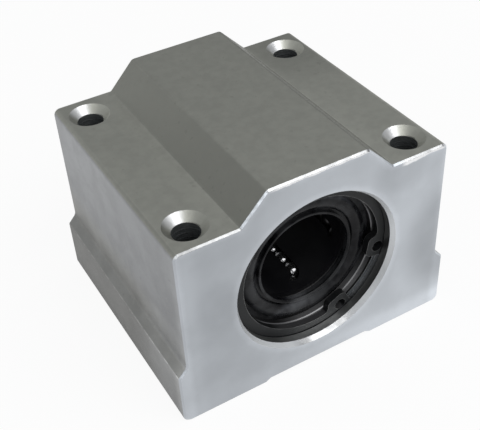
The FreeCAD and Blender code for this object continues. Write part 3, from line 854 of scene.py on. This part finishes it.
def groundSteel(name, look):
    material, tree, shader = newMaterial(name)
    point, x, y, z = place(tree)
    lines = noise(tree, joined(tree, 0, fromShaft(tree, x, z), y), look["linePitch"], detail=2)
    cloud = noise(tree, point, look["cloudSize"], detail=3)
    low = times(tree, fade(tree, z, *look["lowHeight"]), fade(tree, x, *look["lowAcross"]))
    high = shade(tree, look["colour"], cloud, 0.08)
    colour = blendColours(tree, low, high, shade(tree, look["low"], cloud, 0.08))
    feed(tree, shader.inputs["Base Color"], colour)
    feed(tree, shader.inputs["Metallic"], within(tree, low, look["lowPolish"]))
    feed(tree, shader.inputs["Roughness"], spread(tree, lines, *look["roughness"]))
    feed(tree, shader.inputs["Normal"], bump(tree, lines, look["lineDepth"]))
    return material


def phosphatedSpringSteel(look):
    material, tree, shader = newMaterial("phosphatedSpringSteel")
    point, _, _, z = place(tree)
    nz = facing(tree)[2]
    grain = noise(tree, point, look["grain"], detail=4, roughness=0.6)
    cloud = noise(tree, point, look["cloudSize"], detail=2)
    # coating rubbed off the edges, with a painted highlight along them
    rubbed = edgeWearAndHighlight(tree, look, cloud)
    # painted highlight on the upward faces low on the ring
    low = times(tree, fade(tree, nz, *look["lowFacing"]), fade(tree, z, *look["lowHeight"]))
    coating = blendColours(tree, low, shade(tree, look["colour"], cloud, 0.2), look["low"] + (1,))
    colour = blendColours(tree, rubbed, coating, look["bareAndLitEdge"] + (1,))
    feed(tree, shader.inputs["Base Color"], colour)
    feed(tree, shader.inputs["Metallic"], spread(tree, rubbed, look["polish"], 1))
    feed(tree, shader.inputs["Roughness"], spread(tree, grain, *look["roughness"]))
    feed(tree, shader.inputs["Normal"], bump(tree, grain, look["grainDepth"]))
    return material


def polishedBallSteel(look):
    material, tree, shader = newMaterial("polishedBallSteel")
    point, x, _, _ = place(tree)
    haze = noise(tree, point, look["hazeSize"], detail=4)
    across = maths(tree, "ADD", x, wander(tree, haze, look["paintedShadingWander"]))
    # painted shade on the balls right of the shaft
    paintedShadeMask = fade(tree, across, *look["paintedShadingFrom"])
    clean = shade(tree, look["colour"], haze, 0.03)
    feed(tree, shader.inputs["Base Color"], blendColours(tree, paintedShadeMask, clean, look["paintedShading"] + (1,)))
    shader.inputs["Metallic"].default_value = look["polish"]
    rough = spread(tree, haze, *look["roughness"])
    rough = maths(tree, "ADD", rough, times(tree, paintedShadeMask, look["paintedShadingRoughness"]))
    feed(tree, shader.inputs["Roughness"], rough)
    return material


ringSteel = groundSteel("groundBearingSteel", sleeveLook)
dress("bearing_sleeve", ringSteel)
clipSteel = phosphatedSpringSteel(circlipLook)
for end in ("front", "rear"):
    dress("cage_ring_" + end, ringSteel)
    dress("circlip_" + end, clipSteel)
ballSteel = polishedBallSteel(ballLook)
for number in range(1, 6):
    dress("ball_circuit_%d" % number, ballSteel)
print("bearing steel dressed")


# Moulded pieces: the rubber seals and the cage
sealLook = {
    "colour": (0.003, 0.003, 0.004),
    "film": (0.03, 0.031, 0.033),
    "roughness": (0.2, 0.42),
    "shine": 0.12,
    "grain": 0.00025,
    "grainDepth": 0.000006,
    # painted highlight low on the lip, painted shade on the face below it
    "patches": (
        # middle, half size, tone
        ((-0.0024, 0.0095), (0.0048, 0.0022), 2.6),
        ((-0.001, 0.0062), (0.0095, 0.0042), 0.4),
    ),
    "rim": {                     # painted light on the upper right of the outer rim, which lies in shade
        "tone": 7.5,
        "fromShaft": (0.0106, 0.0115),
        "left": (0.0005, 0.0035),
        "right": (0.009, 0.0068),
        "foot": (0.021, 0.026),
    },
}
cageLook = {
    "colour": (0.004, 0.004, 0.005),
    "film": (0.005, 0.005, 0.006),
    "roughness": (0.45, 0.59),
    "shine": 0.25,
    "grain": 0.0003,
    "grainDepth": 0.00001,
    "patches": (),
}
smearSize = 0.0055
smearStep = (0.36, 0.64)


def mouldedBlack(name, look):
    material, tree, shader = newMaterial(name)
    point, x, _, z = place(tree)
    grain = noise(tree, point, look["grain"], detail=4)
    # a thin film of grease lies on it in smears
    smears = fade(tree, noise(tree, point, smearSize, detail=3, roughness=0.6), *smearStep)
    colour = blendColours(tree, smears, look["colour"] + (1,), look["film"] + (1,))
    # painted light and shade in patches, and painted light on the outer rim's upper right
    for paintedPatch in look["patches"]:
        colour = toned(tree, colour, patch(tree, x, z, *paintedPatch))
    if "rim" in look:
        rim = look["rim"]
        paintedShading = times(
            tree,
            fade(tree, fromShaft(tree, x, z), *rim["fromShaft"]),
            fade(tree, x, *rim["left"]),
            fade(tree, x, *rim["right"]),
            fade(tree, z, *rim["foot"]),
        )
        colour = toned(tree, colour, within(tree, paintedShading, rim["tone"]))
    feed(tree, shader.inputs["Base Color"], colour)
    feed(tree, shader.inputs["Roughness"], spread(tree, smears, *look["roughness"]))
    feed(tree, shader.inputs["Normal"], bump(tree, grain, look["grainDepth"]))
    shader.inputs["Specular IOR Level"].default_value = look["shine"]
    return material


sealRubber = mouldedBlack("sealRubber", sealLook)
for end in ("front", "rear"):
    dress("shaft_seal_" + end, sealRubber)
dress("ball_cage", mouldedBlack("cageResin", cageLook))
print("moulded pieces dressed")


# Threads in the top of the four mounting holes
threadLook = {
    "pitch": 0.0008,
    "top": 0.0324,
    "depth": 0.012,
    "crest": 0.00213,
    "foot": 0.0022,
    "thickness": 0.0006,
    "crestShare": 0.08,          # half the crest's width, as a part of the thickness
    "stepsPerTurn": 32,
    # painted shade: the threads are coloured dark for the shade deep in the holes
    "colour": (0.13, 0.138, 0.142),
    "roughness": (0.62, 0.75),
    "smearSize": 0.0004,
}


def cutThread(number, across, along, look, material):
    steps = int(look["depth"] / look["pitch"] * look["stepsPerTurn"])
    corners = []
    faces = []
    for step in range(steps + 1):
        angle = 2 * math.pi * step / look["stepsPerTurn"]
        level = look["top"] - look["pitch"] * step / look["stepsPerTurn"]
        # the ridge rises out of the wall over the first turn and sinks back over the last
        swell = min(1, step / look["stepsPerTurn"], (steps - step) / look["stepsPerTurn"])
        crest = look["foot"] - (look["foot"] - look["crest"]) * swell
        crestRise = look["crestShare"]
        profile = ((look["foot"], 0.5), (crest, crestRise), (crest, -crestRise), (look["foot"], -0.5))
        for radius, rise in profile:
            corners.append((
                across + radius * math.cos(angle),
                along + radius * math.sin(angle),
                level + rise * look["thickness"],
            ))
    for step in range(steps):
        here, there = 4 * step, 4 * step + 4
        for corner in range(4):
            other = (corner + 1) % 4
            faces.append((here + corner, here + other, there + other, there + corner))
    faces.append((3, 2, 1, 0))
    last = 4 * steps
    faces.append((last, last + 1, last + 2, last + 3))
    mesh = bpy.data.meshes.new("thread_%d" % number)
    mesh.from_pydata(corners, [], faces)
    mesh.update()
    mesh.materials.append(material)
    thread = bpy.data.objects.new("thread_%d" % number, mesh)
    bpy.context.scene.collection.objects.link(thread)
    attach(thread, "root")
    return thread


def tappedAluminium(look):
    material, tree, shader = newMaterial("tappedAluminium")
    smear = noise(tree, place(tree)[0], look["smearSize"], detail=3)
    feed(tree, shader.inputs["Base Color"], shade(tree, look["colour"], smear, 0.12))
    shader.inputs["Metallic"].default_value = 1
    feed(tree, shader.inputs["Roughness"], spread(tree, smear, *look["roughness"]))
    return material


threadMetal = tappedAluminium(threadLook)
threadNumber = 0
for side in (-1, 1):
    for end in (-1, 1):
        threadNumber += 1
        cutThread(threadNumber, side * holeAcross, end * holeAlong, threadLook, threadMetal)
print("threads cut")


# White floor and soft studio light
studioLook = {
    "floorColour": (0.9, 0.9, 0.9),
    "floorGlow": 0.92,
    "floorSize": 3.0,
    "floorLevel": -0.00002,
    "floorRoughness": 0.9,
    "paperSize": 0.02,
    "sky": (0.46, 0.47, 0.48),
    "lampAim": (0, 0, 0.02),
    "lamps": (
        # name, direction, distance, width, height, power
        ("softbox", (0.22, -0.58, 0.78), 0.9, 0.8, 0.6, 4.2),
        ("sideBox", (-0.62, -0.66, 0.42), 0.8, 0.4, 0.35, 0.6),
    ),
}


def layFloor(look):
    half = look["floorSize"] / 2
    mesh = bpy.data.meshes.new("floor")
    level = look["floorLevel"]
    mesh.from_pydata(
        [(-half, -half, level), (half, -half, level), (half, half, level), (-half, half, level)],
        [], [(0, 1, 2, 3)],
    )
    floor = bpy.data.objects.new("floor", mesh)
    bpy.context.scene.collection.objects.link(floor)
    material, tree, shader = newMaterial("whiteFloor")
    paper = noise(tree, place(tree)[0], look["paperSize"], detail=3)
    feed(tree, shader.inputs["Base Color"], shade(tree, look["floorColour"], paper, 0.01))
    shader.inputs["Roughness"].default_value = look["floorRoughness"]
    shader.inputs["Specular IOR Level"].default_value = 0
    # the floor glows a little for the camera and in reflections, so that it comes
    # out white and still keeps the block's shadow
    glow = tree.nodes.new("ShaderNodeEmission")
    glow.inputs["Color"].default_value = (1, 1, 1, 1)
    dull = tree.nodes.new("ShaderNodeBsdfDiffuse")
    dull.inputs["Color"].default_value = look["floorColour"] + (1,)
    seen = tree.nodes.new("ShaderNodeMixShader")
    seen.inputs[0].default_value = look["floorGlow"]
    tree.links.new(dull.outputs[0], seen.inputs[1])
    tree.links.new(glow.outputs[0], seen.inputs[2])
    both = tree.nodes.new("ShaderNodeMixShader")
    tree.links.new(seenDirectly(tree), both.inputs[0])
    tree.links.new(shader.outputs[0], both.inputs[1])
    tree.links.new(seen.outputs[0], both.inputs[2])
    tree.links.new(both.outputs[0], tree.nodes["Material Output"].inputs["Surface"])
    mesh.materials.append(material)


def seenDirectly(tree):
    path = tree.nodes.new("ShaderNodeLightPath")
    rays = path.outputs
    mirrored = maths(tree, "MAXIMUM", rays["Is Glossy Ray"], rays["Is Transmission Ray"])
    return maths(tree, "MAXIMUM", rays["Is Camera Ray"], mirrored)


def lightStudio(look):
    world = bpy.data.worlds.new("studio")
    bpy.context.scene.world = world
    world.use_nodes = True
    tree = world.node_tree
    sky = tree.nodes["Background"]
    sky.inputs["Color"].default_value = look["sky"] + (1,)
    white = tree.nodes.new("ShaderNodeBackground")
    white.inputs["Color"].default_value = (1, 1, 1, 1)
    path = tree.nodes.new("ShaderNodeLightPath")
    both = tree.nodes.new("ShaderNodeMixShader")
    tree.links.new(path.outputs["Is Camera Ray"], both.inputs[0])
    tree.links.new(sky.outputs[0], both.inputs[1])
    tree.links.new(white.outputs[0], both.inputs[2])
    tree.links.new(both.outputs[0], tree.nodes["World Output"].inputs["Surface"])
    for name, direction, distance, width, height, power in look["lamps"]:
        lamp = bpy.data.lights.new(name, "AREA")
        lamp.shape = "RECTANGLE"
        lamp.size = width
        lamp.size_y = height
        lamp.energy = power
        box = bpy.data.objects.new(name, lamp)
        bpy.context.scene.collection.objects.link(box)
        way = Vector(direction).normalized()
        box.location = way * distance + Vector(look["lampAim"])
        box.rotation_euler = way.to_track_quat("Z", "Y").to_euler()


layFloor(studioLook)
lightStudio(studioLook)
print("studio lit")
